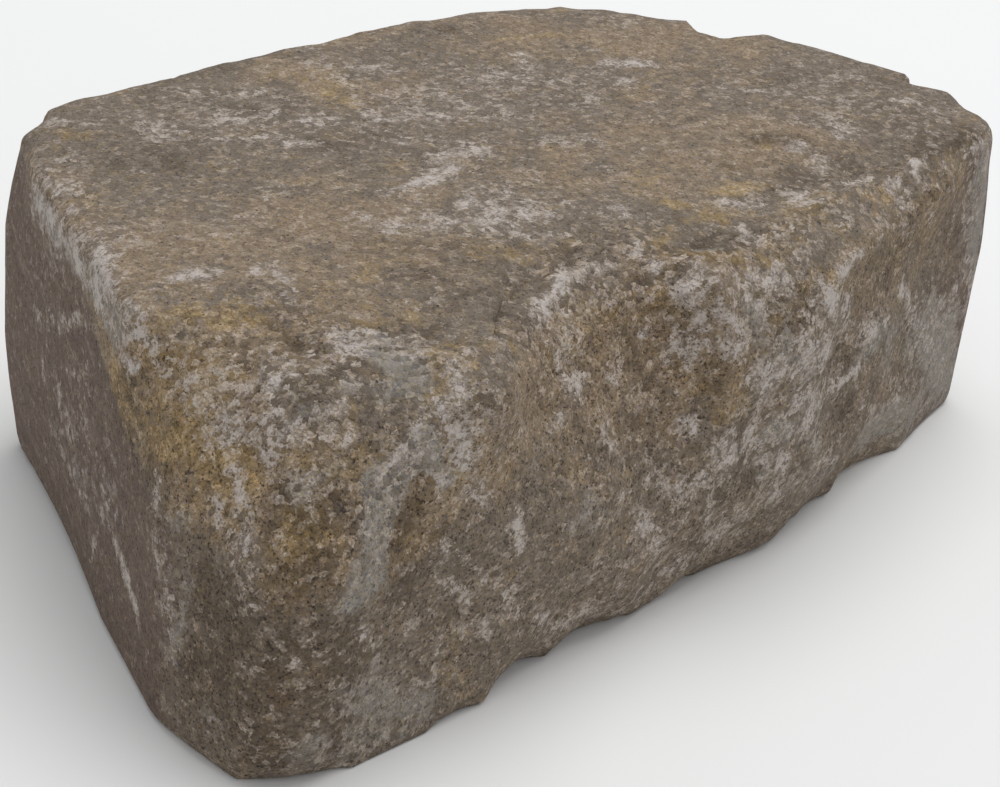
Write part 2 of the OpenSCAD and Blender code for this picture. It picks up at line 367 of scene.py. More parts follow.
# How far each point stands out from the worn outline, in millimetres. The foot stays level.
relief = (
    struck * (0.8 * rough(skin, 24, 4, 3) + strokes(x, z, FACE_FORM) - strokes(x, z, FACE_HOLLOWS))
    + broken * (0.8 * rough(skin, 9, 3, 11) + 1.7 * pebbles(skin, 5, 5) - 0.6)
    + torn * bed_share * (0.35 * rough(skin, 7, 3, 12) + 0.5 * pebbles(skin, 3, 6) - 0.2)
    + (struck + broken + bed_share) * strokes(x, y, ARRIS_FORM) * ease((z - 78) / 10)
    + near_arris * (1.2 * rough(skin, 12, 3, 17) - 0.3)
    + bed_share * (
        0.5 * rough(skin, 60, 2, 23) + 0.22 * rough(skin, 6, 2, 29) - 0.3 - strokes(x, y, BED_PITS))
    + moulded * 0.12 * rough(skin, 14, 3, 31)
    + 0.25 * torn * rough(skin, 3, 1, 37)
)
relief *= on_foot
relief[:, :UNDER_RINGS] = 0
skin = skin + facing * relief[..., None]
skin[..., 2] = np.clip(skin[..., 2], 0, height)

# What stands proud of its surroundings and catches the scuffs.
proud = np.clip(0.5 + 0.5 * (
    struck * rough(skin, 12, 3, 4) + broken * (pebbles(skin, 5, 5) * 1.6 - 0.5)
    + bed_share * rough(skin, 9, 2, 24)), 0, 1)


def closed_mesh(name, grid):
    """A mesh of a grid that closes on itself round its first direction, in millimetres, with one
    more point at the middle of its first ring and of its last."""
    stations, rings = grid.shape[:2]
    points = np.vstack([grid.reshape(-1, 3), grid[:, 0].mean(0), grid[:, -1].mean(0)]) * MM
    here = np.arange(stations)[:, None] * rings + np.arange(rings)[None]
    there = np.roll(here, -1, 0)
    quads = np.stack([here[:, :-1], there[:, :-1], there[:, 1:], here[:, 1:]], -1).reshape(-1, 4)
    foot_pole, head_pole = len(points) - 2, len(points) - 1
    foot_fan = np.stack([there[:, 0], here[:, 0], np.full(stations, foot_pole)], -1)
    head_fan = np.stack([here[:, -1], there[:, -1], np.full(stations, head_pole)], -1)
    mesh = bpy.data.meshes.new(name)
    mesh.from_pydata(points.tolist(), [], quads.tolist() + foot_fan.tolist() + head_fan.tolist())
    mesh.shade_smooth()
    return mesh


def add_layer(mesh, name, values):
    """Stores one number at each point of a closed mesh, under a name that materials read."""
    layer = mesh.attributes.new(name, "FLOAT", "POINT")
    poles = [values[:, 0].mean(), values[:, -1].mean()]
    layer.data.foreach_set("value", np.r_[values.ravel(), poles].astype(np.float32))


block_mesh = closed_mesh("tumbled_block", skin)
block = bpy.data.objects.new("tumbled_block", block_mesh)
bpy.context.scene.collection.objects.link(block)

# Where the mix shows its pigments, and where a film of lime and chalky scuffs lie. Places are in
# millimetres: x, y on the bed and on the top arris, x, z on the face and y, z on the left side,
# as start, end, width and strength. On the sides they are those of the unworn outline. Lumps of
# 10 mm bend them by about 3 mm, so none is straight.
bend_x, bend_y, bend_z = (3.2 * rough(skin, 10, 3, seed) for seed in (41, 42, 43))
x, y, z = skin[..., 0] + bend_x, skin[..., 1] + bend_y, skin[..., 2] + bend_z
face_x = plan[:, :1] + bend_x
left_y = plan[:, 1:] - depth / 2 + bend_y

BED_TAN = (
    (-120, 48, -138, 0, 14, 0.9), (-138, -5, -70, -10, 24, 1), (-70, -8, 60, -16, 13, 0.8),
    (10, -35, 70, -38, 16, 1), (60, 62, 105, 28, 26, 0.9), (30, 5, 90, 0, 14, 0.5),
    (-22, 72, -8, 52, 13, 1), (-70, -35, -140, -55, 20, 0.8), (0, 84, 60, 82, 8, 0.7),
    (16, -52, 40, -53, 8, 0.6), (-62, -78, -24, -68, 7, 0.8), (-16, -64, -6, -76, 6, 1.2),
    (-20, -22, -6, -30, 8, 0.5), (-28, -14, -18, -20, 6, 0.6), (-50, -46, -44, -46, 6, 0.6),
    (-134, -38, -136, -52, 7, 1.0), (-76, -74, -70, -72, 5, 0.6),
)
BED_OCHRE = (
    (-141, -24, -126, -40, 8, 0.8), (-140, -36, -136, -48, 6, 0.8), (-117, 38, -116, 32, 6, 0.5),
    (-14, 66, -16, 50, 7, 0.7), (-106, -74, -104, -78, 2, 1.2), (-124, -75, -119, -73, 3, 0.8),
    (26, -48, 42, -55, 4, 0.9), (10, -50, 16, -53, 4, 1.0), (-18, -62, -4, -60, 6, 0.9),
    (8, -75, 14, -78, 4, 0.9), (60, -37, 66, -36, 3, 1.2), (-100, -76, -78, -78, 6, 0.6),
    (0, -62, 24, -60, 6, 0.5), (18, -74, 80, -68, 6, 0.7), (96, -64, 124, -62, 5, 0.5),
    (-14, -64, -6, -72, 4, 0.7), (-104, -48, -84, -60, 8, 0.4), (34, 66, 60, 50, 12, 0.3),
    (-54, -42, -50, -48, 5, 0.6), (-4, -74, 6, -79, 4, 1.1), (74, 44, 78, 34, 6, 0.4),
    (-86, -42, -82, -38, 6, 0.4), (-95, 66, -104, 72, 6, 0.4), (14, -34, 20, -46, 5, 0.4),
    (105, 20, 108, 12, 6, 0.3), (56, 16, 66, 12, 5, 0.3), (-131, -40, -139, -50, 6, 0.8),
    (-42, -66, -34, -66, 4, 0.6), (100, -66, 114, -64, 5, 0.6),
)
# Darker spots on the bed; those on its pits are painted shade.
BED_DARK_AND_SHADE = (
    (-95, 52, -80, 40, 12, 0.6), (-60, 30, -25, 24, 10, 0.5), (-74, -46, -58, -40, 10, 0.8),
    (60, -36, 64, -34, 3, 1), (-20, -64, 8, -70, 8, 0.8), (110, -50, 135, -24, 12, 0.6),
    (34, -10, 60, -14, 5, 0.4), (20, 5, 35, 12, 8, 0.5), (-30, 84, -50, 86, 6, 0.4),
    (-98, -60, -70, -66, 8, 0.7), (-120, -50, -116, -54, 2.5, 1.3), (-125, -62, -117, -66, 4, 1.0),
    (-129, -68, -124, -66, 2.4, 1.1), (-132, -47, -130, -44, 2, 0.9), (-114, -60, -112, -62, 3, 0.7),
    (-4, -67, 2, -72, 3.5, 1.1), (98, -64, 124, -62, 5, 0.7), (14, -62, 46, -60, 4, 0.6),
    (76, -56, 104, -52, 6, 0.5), (96, -6, 116, -10, 6, 0.6), (-54, 62, -50, 56, 4, 0.5),
    (-22, 34, -24, 36, 3, 0.8), (-20, 9, -15, 9, 3, 0.9), (44, 78, 48, 70, 2.5, 0.9),
    (-84, -56, -82, -54, 3, 0.8), (-34, 60, -30, 44, 6, 0.4), (42, 22, 50, 16, 6, 0.5),
    (-118, -26, -106, -24, 6, 0.4), (-112, -42, -86, -55, 6, 0.6), (-72, -58, -60, -56, 6, 0.7),
    (-86, -30, -60, -32, 6, 0.4), (-46, -47, -36, -53, 5, 0.8), (-36, -66, -28, -68, 4, 0.6),
    (52, -53, 62, -58, 6, 1.0), (66, -34, 72, -39, 5, 0.8), (44, -40, 48, -44, 5, 0.6),
    (112, -38, 120, -46, 6, 0.5), (106, -58, 126, -60, 8, 1.3), (44, -57, 60, -59, 5, 0.9),
    (6, -55, 22, -58, 5, 0.5), (-6, -76, 4, -79, 4, 0.6), (-132, -65, -126, -70, 3, 0.8),
    (94, -60, 106, -68, 5, 0.8),
)
BED_CHALK = (
    (-50, 71, -35, 62, 5, 0.6), (-75, 58, -44, 46, 7, 0.6), (-67, 44, -53, 34, 4, 0.6),
    (-54, 34, -49, 27, 3, 0.7), (-38, 42, -31, 42, 4, 0.7), (-20, 37, -15, 33, 4, 1.1),
    (-2, 26, 14, 17, 6, 0.4), (12, -4, 22, -10, 6, 0.35), (-17, 34, -3, 30, 3.5, 0.6),
    (-22, 19, -18, 14, 3.4, 1.0), (-11, 54, -4, 42, 5, 0.5), (5, 44, 10, 26, 6, 0.5),
    (31, 40, 44, 26, 7, 0.5), (29, 22, 41, 16, 5, 0.4), (-50, -5, -34, -6, 2.6, 0.9),
    (-34, -5, -24, -3, 3.4, 1.3), (-25, -2, -14, 6, 4, 1.4), (-12, 4, -6, 6, 3, 0.5),
    (-38, -12, -16, -24, 7, 0.35), (67, 28, 77, 24, 4, 1.0), (46, 44, 50, 48, 3, 0.5),
    (57, 20, 62, 17, 3, 0.6), (92, 45, 103, 48, 4, 0.4), (67, -53, 74, -50, 2.4, 0.6),
    (81, -71, 85, -74, 2.2, 0.9), (-106, -80, -102, -82, 2.4, 0.9), (-50, -66, -45, -63, 3, 0.9),
    (83, -6, 91, -10, 2.4, 0.8), (95, -32, 99, -38, 3, 0.6), (103, -22, 111, -26, 3.5, 0.7),
    (121, -13, 128, -17, 4, 0.6), (130, -38, 133, -44, 3, 0.8), (76, -26, 79, -30, 3, 0.3),
    (-69, -14, -51, -20, 4, 0.5), (-65, -22, -43, -28, 4.5, 0.7), (-49, -28, -25, -36, 5.5, 0.9),
    (-38, -40, -31, -46, 3.5, 0.9), (-38, -24, -31, -27, 4, 0.8), (-25, -22, -17, -32, 4, 0.6),
    (-127, -14, -118, -17, 2.4, 0.8), (-108, -36, -104, -28, 2.4, 0.7), (-108, -24, -103, -22, 3, 0.5),
    (-62, -70, -44, -62, 2.6, 1.2), (-43, -61, -27, -59, 2, 0.9), (-30, -74, -20, -74, 3, 0.3),
    (-24, -62, -14, -58, 3, 0.2), (-11, -46, -7, -48, 3, 0.6), (14, -70, 20, -66, 1.8, 0.8),
    (20, -80, 30, -82, 3, 0.4), (-17, -67, -9, -74, 4, 0.5), (-41, -63, -37, -64, 2.4, 1.0),
    (6, -83, 16, -85, 3.4, 1.2), (26, -74, 28, -73, 1.6, 0.6), (43, -66, 48, -64, 2.2, 0.9),
    (54, -65, 60, -63, 1.8, 0.5), (68, -60, 74, -61, 1.6, 0.8), (79, -65, 84, -68, 1.8, 1.1),
    (93, -66, 98, -63, 1.8, 1), (88, -42, 95, -38, 3.4, 0.8), (-14, -60, -12, -69, 2.6, 1),
    (-15, -68, -11, -70, 3, 0.8), (0, -82, 8, -83, 4, 0.5), (26, -57, 34, -59, 3, 0.8),
    (44, -69, 49, -70, 2.4, 1.0), (66, -58, 70, -64, 3, 0.4), (68, -44, 72, -44, 3, 0.5),
    (-95, 78, -90, 70, 2.4, 0.7), (-10, 70, 4, 76, 4, 0.4), (0, 62, 12, 60, 3, 0.5),
    (-137, 24, -134, 4, 5, 0.7), (-108, 54, -118, 42, 4, 0.5), (-116, 50, -124, 30, 3, 0.6),
    (-112, -56, -106, -60, 2.8, 1.3), (-117, -54, -116, -56, 1.6, 1.2), (-107, -59, -106, -57, 1.5, 1.2),
    (-104, -60, -99, -62, 2.2, 0.8), (-134, -56, -129, -59, 2.4, 1.2), (-127, -70, -124, -72, 2, 0.8),
    (-124, -59, -122, -60, 1.6, 1.1), (-128, -51, -123, -55, 3, 0.2), (-141, -58, -137, -66, 4.5, 1.3),
    (-132, -71, -128, -74, 3, 0.2), (-141, -40, -134, -50, 5, 0.6), (-92, -68, -88, -70, 2.4, 0.2),
    (-96, -78, -91, -77, 2, 0.6), (-99, -81, -95, -82, 2.4, 0.8), (-60, 66, -34, 38, 18, 0.2),
    (-6, 46, 44, 20, 18, 0.25), (96, -20, 128, -40, 14, 0.2), (-134, 30, -120, 10, 10, 0.2),
)
FACE_WARM = (
    (-62, 80, -18, 74, 22, 0.9), (6, 84, 26, 82, 7, 0.9), (-10, 90, -6, 60, 5, 0.9),
    (44, 84, 130, 80, 12, 1.1), (60, 72, 118, 70, 9, 1.0), (8, 84, 24, 76, 6, 1),
    (-116, 68, -112, 62, 7, 0.9), (-96, 70, -84, 64, 10, 0.6), (-104, 84, -90, 90, 10, 0.8),
    (-90, 92, -66, 82, 12, 0.9), (-100, 78, -102, 64, 6, 0.8), (-146, 60, -148, 30, 7, 0.4),
    (-88, 80, -66, 66, 9, 0.7), (62, 40, 100, 10, 12, 0.3),
)
FACE_OCHRE = (
    (-152, 80, -150, 62, 9, 0.7), (-152, 88, -140, 86, 8, 0.7), (-60, 92, -20, 92, 10, 0.6),
    (-18, 92, -10, 66, 6, 0.7), (8, 84, 30, 82, 6, 0.8), (-55, 68, -40, 78, 10, 0.3),
    (-108, 76, -100, 70, 5, 0.6), (-96, 68, -88, 66, 8, 0.4), (-100, 62, -96, 58, 5, 0.4),
    (-134, 92, -120, 94, 5, 0.6), (-4, 68, 0, 56, 5, 0.5), (-142, 82, -134, 76, 6, 0.5),
    (-150, 80, -146, 79, 2.4, 1.1), (10, 82, 20, 80, 4, 0.6), (96, 90, 126, 84, 7, 0.5),
    (60, 84, 110, 72, 9, 0.4),
)
# Darker strokes on the face: partly darker patches of the mix, partly painted shade over its hollows and
# down its left end.
FACE_DARK_AND_SHADE = (
    (-145, 70, -143, 44, 8, 1.3), (-150, 46, -134, 24, 13, 1.7), (-150, 24, -140, 20, 9, 1.2),
    (-150, 14, -134, 10, 10, 1.4), (-60, 62, -48, 56, 6, 0.6), (-116, 70, -114, 42, 6, 1.0),
    (-108, 56, -106, 44, 5, 0.5), (40, 62, 47, 58, 5, 0.8), (48, 46, 56, 36, 6, 0.8),
    (-2, 36, 12, 33, 7, 0.7), (-34, 56, -20, 50, 10, 0.7), (8, 83, 24, 79, 5, 1.7),
    (24, 86, 30, 84, 4, 0.7), (-24, 62, -25, 46, 5, 0.8), (90, 68, 104, 60, 7, 0.6),
    (-8, 66, 0, 52, 6, 0.6), (66, 78, 124, 70, 12, 0.8), (-80, 24, -50, 18, 9, 0.3),
    (32, 58, 36, 48, 4, 0.6), (-107, 56, -92, 42, 7, 0.6), (66, 34, 104, 26, 8, 0.5),
    (96, 50, 106, 36, 8, 1.1), (120, 60, 134, 30, 8, 0.5), (20, 20, 34, 10, 8, 0.4),
    (-100, 30, -70, 34, 8, 0.3), (96, 88, 124, 82, 7, 0.8), (-20, 32, -8, 26, 6, 0.6),
    (-116, 84, -110, 82, 4, 0.8), (-134, 78, -128, 72, 4, 0.5),
)
FACE_CHALK = (
    (-104, 92, -100, 78, 5, 1.2), (-98, 72, -96, 66, 3, 0.5), (-93, 92, -90, 88, 3, 0.7),
    (-94, 82, -92, 78, 2.5, 0.7), (-102, 90, -92, 84, 5, 0.8), (-99, 65, -94, 60, 3, 0.8),
    (-129, 38, -124, 35, 3, 0.8), (-58, 88, -48, 85, 3.4, 0.8), (-55, 82, -52, 76, 3, 1.0),
    (-102, 88, -94, 86, 3.4, 0.8), (-102, 83, -96, 76, 3.4, 0.7), (-118, 77, -108, 76, 4, 0.5),
    (-38, 75, -34, 73, 3, 1), (-103, 54, -99, 52, 2.4, 0.8), (-47, 62, -45, 58, 2.2, 0.8),
    (-35, 65, -29, 67, 2, 0.9), (-36, 40, -33, 34, 3.4, 0.8), (-24, 42, -18, 38, 4, 0.9),
    (-18, 39, -10, 38, 2.4, 0.6), (-96, 70, -94, 68, 2, 0.5), (-81, 50, -79, 46, 2.5, 1.1),
    (-66, 70, -61, 72, 2, 0.9), (-23, 87, -21, 84, 2.5, 0.5), (-22, 79, -21, 77, 2, 1.1),
    (-19, 55, -15, 54, 2.4, 1.0), (-141, 37, -138, 35, 2, 1.0), (-149, 37, -147, 34, 1.4, 0.5),
    (-114, 34, -112, 31, 2, 0.3), (-105, 28, -104, 23, 2.5, 0.5), (-97, 29, -95, 24, 2, 0.6),
    (-89, 27, -86, 23, 2.2, 0.5), (-68, 21, -64, 18, 1.8, 0.9), (-150, 75, -146, 72, 3, 0.5),
    (-150, 66, -149, 60, 2.4, 0.3), (-142, 86, -136, 84, 3.4, 0.4), (-124, 76, -116, 79, 3, 0.7),
    (-122, 87, -116, 85, 3, 0.6), (-110, 72, -105, 66, 3.4, 1.2), (-102, 44, -94, 33, 1.6, 0.8),
    (-80, 37, -84, 27, 1.6, 0.7), (-30, 42, -12, 40, 1.4, 0.8), (-10, 38, -2, 26, 2, 0.8),
    (-2, 22, 4, 14, 3, 0.8), (-15, 98, -12, 72, 4, 1.3), (-2, 91, 4, 84, 4, 1.3),
    (-10, 88, -5, 76, 4, 0.8), (6, 70, 14, 65, 4.5, 1.1), (8, 89, 12, 87, 4, 1.0),
    (14, 68, 18, 62, 4, 1.0), (0, 24, 12, 12, 4, 0.7), (28, 80, 36, 72, 3.6, 1.1), (4, 89, 8, 87, 3, 0.9),
    (22, 73, 36, 70, 5, 0.8), (44, 75, 48, 70, 3, 1.0), (16, 90, 22, 88, 3, 0.8),
    (24, 66, 42, 62, 6, 0.8), (8, 44, 14, 38, 4, 0.7), (8, 64, 10, 50, 4, 1.0),
    (12, 46, 15, 38, 3.4, 1.0), (20, 62, 24, 52, 4.5, 1.1), (20, 47, 24, 43, 3, 0.7),
    (36, 78, 40, 72, 3.4, 1.1), (29, 84, 33, 80, 2.4, 1.5), (38, 86, 50, 87, 1.8, 1.4),
    (57, 88, 62, 87, 1.6, 0.5), (74, 86, 80, 84, 1.8, 0.7), (92, 86, 100, 80, 2.5, 0.5),
    (40, 72, 53, 68, 2.5, 1), (54, 66, 60, 61, 2.5, 0.8), (60, 60, 74, 58, 3, 0.9),
    (22, 60, 34, 44, 5, 0.7), (84, 60, 100, 52, 2, 1), (100, 48, 112, 44, 2.6, 0.7),
    (112, 48, 130, 44, 3, 0.7), (36, 47, 60, 49, 3, 0.9), (14, 48, 24, 28, 4, 0.7),
    (8, 24, 18, 20, 2.5, 0.9), (-5, 50, -2, 40, 3.4, 0.9), (112, 40, 132, 20, 9, 0.5),
    (124, 96, 142, 84, 5, 0.5), (138, 50, 146, 30, 6, 0.5), (40, 28, 58, 20, 2, 0.8),
    (64, 38, 78, 26, 2.5, 0.7), (90, 34, 98, 20, 2.5, 0.7), (-92, 42, -88, 36, 3, 0.3),
    (-60, 12, -30, 8, 6, 0.5), (-84, 32, -80, 28, 3, 0.6), (-36, 26, -14, 16, 6, 0.5),
    (18, 32, 26, 18, 4, 0.6), (124, 72, 134, 66, 4, 0.5), (-46, 48, -36, 42, 3, 0.5),
)
FACE_FILM = (
    (-131, 54, -125, 70, 6, 1.4), (-126, 54, -123, 66, 4, 1.2), (-128, 75, -112, 80, 5, 1.3),
    (-136, 88, -122, 92, 5, 0.8), (-138, 8, -106, 10, 8, 0.8), (-134, 24, -120, 18, 7, 0.6),
    (-128, 40, -120, 20, 6, 0.5), (-106, 90, -102, 72, 6, 0.4), (-122, 77, -108, 75, 5, 1.1),
    (-112, 80, -106, 70, 4, 1.2), (-124, 82, -128, 80, 3, 0.7), (-140, 78, -148, 75, 3, 0.6),
    (20, 22, 50, 16, 9, 0.5), (28, 40, 36, 34, 5, 0.5), (131, 94, 142, 50, 6, 1),
    (64, 54, 100, 46, 8, 0.6), (112, 40, 136, 14, 14, 1.1), (80, 18, 112, 12, 8, 1.1),
    (70, 54, 84, 40, 6, 0.7), (128, 70, 140, 92, 8, 0.5), (-62, 46, -44, 42, 6, 0.6),
    (0, 90, 4, 80, 6, 0.8), (14, 72, 26, 60, 8, 0.7), (18, 46, 24, 42, 5, 0.9), (34, 40, 40, 34, 5, 0.8),
    (28, 50, 38, 36, 8, 0.7), (16, 34, 30, 24, 6, 0.6), (-4, 46, 2, 42, 5, 0.6),
)
LEFT_CHALK = (
    (36, 65, 22, 71, 1.8, 1), (22, 71, 10, 76, 1.4, 0.9), (52, 54, 40, 60, 2.5, 0.6),
    (52, 88, 20, 90, 8, 0.7), (20, 91, -6, 92, 7, 0.7), (-12, 87, -16, 85, 2.2, 1.1),
    (-16, 85, -23, 82, 2.2, 1.1), (-26, 86, -32, 87, 2.4, 0.5), (-22, 92, -26, 91, 2, 1.1),
    (-8, 34, -20, 29, 2, 0.9), (-20, 29, -30, 23, 2.4, 1), (-30, 23, -34, 15, 1.6, 0.8),
    (-2, 44, -14, 38, 3, 0.6), (30, 43, 18, 39, 3.4, 0.7), (38, 31, 10, 29, 3, 0.6),
    (8, 38, -4, 33, 2.5, 0.6), (24, 56, 10, 60, 3, 0.5), (2, 15, -2, 27, 1.1, 0.7),
    (-51, 30, -53, 20, 2.0, 0.4), (-60, 81, -80, 83, 4.5, 1.5), (44, 70, 40, 62, 2.6, 0.6),
    (14, 50, 6, 46, 3, 0.6), (46, 46, 42, 38, 2.6, 0.5), (-6, 56, -12, 52, 2.4, 0.5),
    (-65, 71, -68, 69, 2.2, 1), (-46, 82, -56, 82, 4, 0.6), (-72, 62, -76, 54, 4, 0.9),
    (-70, 64, -75, 60, 3, 0.7), (-72, 69, -74, 68, 2, 0.8), (-24, 91, -46, 86, 6, 0.7),
    (-59, 64, -63, 63, 2, 1.5), (-44, 83, -46, 80, 2.2, 0.7), (-40, 62, -47, 34, 4, 0.6),
    (50, 80, 24, 84, 6, 0.35),
)
LEFT_FILM = (
    (54, 86, 24, 88, 6, 0.6), (24, 88, -2, 89, 6, 0.7), (-4, 90, -14, 86, 5, 0.8),
    (-51, 56, -56, 22, 5, 0.6), (-44, 50, -50, 24, 4, 0.4), (-52, 14, -56, 4, 4, 0.5),
    (-62, 20, -78, 10, 8, 0.3), (0, 46, -24, 40, 6, 0.3), (36, 38, 10, 32, 7, 0.4),
)
LEFT_OCHRE = (
    (-14, 75, -30, 70, 7, 0.7), (-28, 90, -46, 82, 8, 0.9), (-40, 78, -66, 74, 10, 0.9),
    (-58, 66, -66, 64, 5, 0.6),
)
LEFT_TAN = (
    (-20, 90, -46, 84, 8, 1.2), (-40, 82, -76, 80, 8, 1.2), (58, 84, 14, 87, 8, 1.3),
    (14, 88, -20, 90, 7, 0.8),
)
# Darker strokes on the left side: partly darker patches of the mix, partly painted shade, most of all down
# its front end.
LEFT_DARK_AND_SHADE = (
    (-14, 69, -22, 65, 4, 1.9), (-24, 74, -44, 65, 6, 1.3), (4, 76, -8, 72, 3, 0.8),
    (-46, 66, -54, 60, 4, 0.7), (-20, 78, -28, 82, 3, 0.8), (-34, 78, -40, 74, 3, 0.9),
    (-54, 74, -60, 70, 3, 0.8), (-50, 76, -51, 70, 1.2, 1.2), (-32, 62, -44, 58, 4, 0.6),
    (40, 76, 26, 78, 5, 0.6), (20, 66, 4, 66, 6, 0.6), (30, 50, 20, 48, 5, 0.6), (44, 30, 38, 22, 6, 0.5),
    (-2, 62, -14, 58, 4, 0.5), (-10, 28, -26, 21, 2.4, 0.8), (-66, 48, -84, 42, 10, 1.9),
    (-68, 26, -86, 20, 11, 1.8),
)
ARRIS_FILM = (
    (-118, 56, -126, 36, 4, 0.3), (-126, 36, -134, 16, 4, 0.4), (-136, 8, -143, -10, 4, 0.6),
    (-143, -10, -147, -24, 4, 0.8), (-105, -62, -104, -72, 4, 1.3), (-105, -68, -110, -74, 4, 1.1),
    (-120, -70, -108, -76, 4, 0.9), (-131, -60, -128, -66, 4, 0.4), (-128, -52, -123, -56, 4, 0.6),
    (-138, -68, -128, -74, 5, 0.6), (-2, -72, 2, -74, 2, 0.7),
)
ARRIS_CHALK = (
    (-123, 50, -131, 20, 6, 0.6), (-131, 20, -139, -4, 6, 0.6), (-141, -6, -145, -22, 3.2, 0.5),
)

# Clouds of pigment 40 mm wide and patches of 9 mm run through all of them, and blotches of 6 mm
# break the scuffs up. Elsewhere is the back and the right side, which have no strokes of their
# own, and at_arris leaves out what is lower than 84 mm.
cloud = lumps(skin, 40, 51)
patch = rough(skin, 9, 3, 53)
blotch = np.clip(1 + 0.7 * rough(skin, 6, 3, 67), 0.25, 1.7)
elsewhere = (1 - bed_share) * (1 - front) * (1 - left_side)
at_arris = ease((z - 84) / 6)
tan = (
    bed_share * strokes(x, y, BED_TAN) + front * (0.15 + strokes(face_x, z, FACE_WARM))
    + left_side * strokes(left_y, z, LEFT_TAN) + 0.6 * spall + 0.3 * elsewhere + 0.15 * cloud + 0.5 * patch
)
ochre = (
    bed_share * strokes(x, y, BED_OCHRE) + front * strokes(face_x, z, FACE_OCHRE)
    + left_side * strokes(left_y, z, LEFT_OCHRE) + 0.3 * spall + 0.5 * rough(skin, 8, 3, 57)
)
# Dark: darker patches of the mix, partly painted shade in hollows, pits and the near left corner.
dark_and_shade = (
    bed_share * strokes(x, y, BED_DARK_AND_SHADE) + front * (0.25 + 0.7 * strokes(face_x, z, FACE_DARK_AND_SHADE))
    + (1 - bed_share) * (1 - front) * (0.3 * (1 - spall) + 0.5 * strokes(left_y, z, LEFT_DARK_AND_SHADE))
    + elsewhere * 0.5 * rough(skin, 40, 3, 79)
    + 0.15 * cloud + 0.4 * rough(skin, 7, 3, 61)
)
chalk = blotch * (
    bed_share * (0.12 + strokes(x, y, BED_CHALK)) + front * (0.16 + strokes(face_x, z, FACE_CHALK))
    + left_side * (0.05 + strokes(left_y, z, LEFT_CHALK))
    + elsewhere * (0.12 + 0.35 * rough(skin, 28, 4, 73))
    + (0.15 + 0.5 * elsewhere) * near_arris + 0.25 * (proud - 0.5)
    + at_arris * (1 - front) * strokes(x, y, ARRIS_CHALK)
)
film = (
    front * strokes(face_x, z, FACE_FILM) + left_side * strokes(left_y, z, LEFT_FILM)
    + at_arris * strokes(x, y, ARRIS_FILM) + 0.3 * rough(skin, 8, 3, 71)
    + elsewhere * (0.1 + 0.35 * rough(skin, 34, 3, 83))
)

# Painted shade in the hollows between the knobs of a break, how knobby each kind of surface is,
# and the moulded skin, which is worn through near an arris.
hollow_shade = broken * (1 - pebbles(skin, 5, 5) * 1.4)
knobby = np.maximum(0.35 * bed_share + 0.3 * struck + 0.1 * moulded, 0.6 * np.maximum(torn, spall))
skin_left = np.clip(moulded * (1 - 0.7 * near_arris + 0.35 * rough(skin, 9, 3, 87)), 0, 1)
marks = {
    "tan": tan, "ochre": ochre, "dark_and_shade": dark_and_shade, "chalk": chalk, "film": film,
    "struck": struck, "moulded": skin_left, "hollow_shade": hollow_shade, "bed": bed_share, "knobby": knobby,
}
for name, values in marks.items():
    add_layer(block_mesh, name, np.broadcast_to(values, (STATIONS, RINGS)))


def linear(colour):
    """An sRGB hex colour as linear red, green, blue and alpha."""
    parts = np.array([int(colour[k:k + 2], 16) for k in (1, 3, 5)]) / 255
    parts = np.where(parts <= 0.04045, parts / 12.92, ((parts + 0.055) / 1.055) ** 2.4)
    return (*parts, 1.0)


def add_node(tree, kind, sockets, **settings):
    """Adds a node with its settings. A socket is given a value or another node's output."""
    made = tree.nodes.new(kind)
    for name, value in settings.items():
        setattr(made, name, value)
    for name, value in sockets.items():
        if isinstance(value, bpy.types.NodeSocket):
            tree.links.new(value, made.inputs[name])
        else:
            made.inputs[name].default_value = value
    return made.outputs


def lay_on(tree, tone, colour, mark, patterns, start, full, cover):
    """The tone with a colour laid over it where its mark is. The mark's edge is broken up first:
    patterns, which lie round 0.5, are added to it by their own amounts, and the sum is let rise
    from 0 at start to 1 at full. There the colour covers the tone by the share `cover`."""
    for pattern, amount in patterns:
        mark = add_node(
            tree, "ShaderNodeMath", {0: pattern, 1: amount, 2: mark}, operation="MULTIPLY_ADD")["Value"]
    shift = sum(amount for _, amount in patterns) / 2
    mask = add_node(
        tree, "ShaderNodeMapRange", {"Value": mark, "From Min": start + shift, "From Max": full + shift},
        interpolation_type="SMOOTHSTEP",
    )["Result"]
    mask = add_node(tree, "ShaderNodeMath", {0: mask, 1: cover}, operation="MULTIPLY")["Value"]
    return add_node(
        tree, "ShaderNodeMixRGB", {"Fac": mask, "Color1": tone, "Color2": linear(colour)})["Color"]


# Dry-cast concrete with earth pigments: sand grains in a cement paste that is grey here, tan and
# ochre there, matt all over, with pin-holes of trapped air, a bloom of lime and chalky scuffs.
concrete = bpy.data.materials.new("dry_cast_concrete")
concrete.use_nodes = True
tree = concrete.node_tree
shader = tree.nodes["Principled BSDF"]
place = add_node(tree, "ShaderNodeTexCoord", {})["Object"]
layer = {
    name: add_node(tree, "ShaderNodeAttribute", {}, attribute_name=name)["Fac"]
    for name in marks
}

